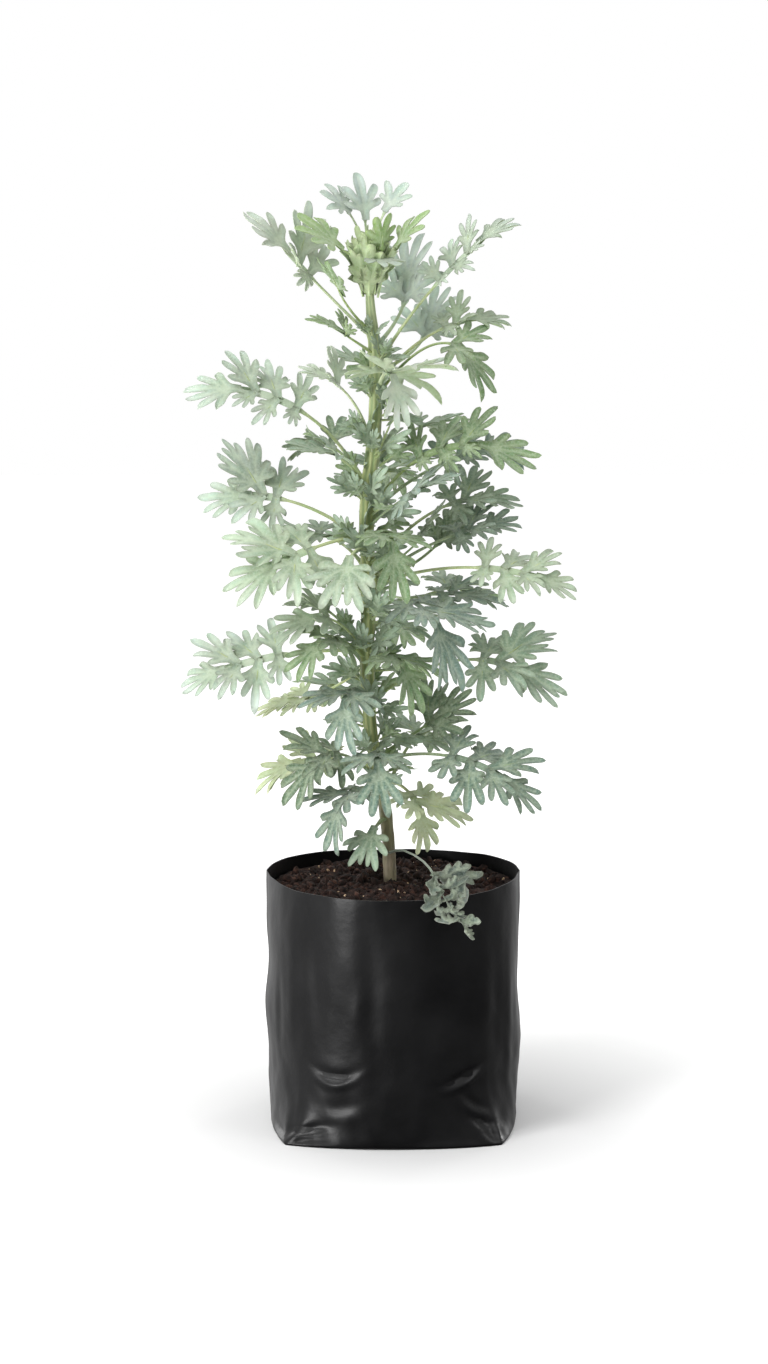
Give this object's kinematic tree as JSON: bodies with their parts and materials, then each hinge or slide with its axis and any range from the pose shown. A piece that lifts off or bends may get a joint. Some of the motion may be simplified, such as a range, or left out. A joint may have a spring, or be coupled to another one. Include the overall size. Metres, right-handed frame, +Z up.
{
  "type": "potted wormwood",
  "caption": "Young upright wormwood with finely lobed silvery-green leaves on one stem, growing in a soft black plastic grow bag filled with soil.",
  "frame": {"origin": "middle of the grow bag's flat underside, at floor level", "axes": "+Z up along the stem, -Y towards the front of the plant, +X to the right seen from the front"},
  "size_m": [0.2973, 0.2262, 0.7159],
  "materials": {
    "bag_film": "soft black polyethylene film, faint broad sheen",
    "potting_soil": "matte, dark, crumbly peat soil with pale flecks",
    "stem": "ribbed green stem, woody grey-brown at the base",
    "young_leaf": "matte, covered in fine silvery hairs",
    "leaf": "matte grey-green, silky with fine hairs",
    "dry_leaf": "matte, shrivelled grey-green"
  },
  "bodies": {
    "root": {"grow_bag": "bag_film", "soil": "potting_soil", "main_stem": "stem", "top_shoot": "young_leaf", "leaf_01": "leaf", "leaf_02": "leaf", "leaf_03": "leaf", "leaf_04": "leaf", "leaf_05": "leaf", "leaf_06": "leaf", "leaf_07": "leaf", "leaf_08": "leaf", "leaf_09": "leaf", "leaf_10": "leaf", "leaf_11": "leaf", "leaf_12": "leaf", "leaf_13": "leaf", "leaf_14": "leaf", "leaf_15": "leaf", "leaf_16": "leaf", "leaf_17": "leaf", "leaf_18": "leaf", "leaf_19": "leaf", "leaf_20": "leaf", "leaf_21": "leaf", "leaf_22": "leaf", "leaf_23": "leaf", "leaf_24": "leaf", "leaf_25": "leaf", "leaf_26": "leaf", "leaf_27": "leaf", "leaf_28": "leaf", "leaf_29": "leaf", "leaf_30": "leaf", "leaf_31": "leaf", "leaf_32": "leaf", "leaf_33": "leaf", "leaf_34": "leaf", "leaf_35": "leaf", "leaf_36": "leaf", "leaf_37": "leaf", "leaf_38": "leaf", "leaf_39": "leaf", "leaf_40": "leaf", "leaf_41": "leaf", "leaf_42": "leaf", "leaf_43": "leaf", "leaf_44": "leaf", "leaf_45": "leaf", "leaf_46": "leaf", "leaf_47": "leaf", "leaf_48": "leaf", "leaf_49": "leaf", "leaf_50": "leaf", "leaf_51": "leaf", "leaf_52": "leaf", "withered_leaf": "dry_leaf"}
  },
  "joints": []
}
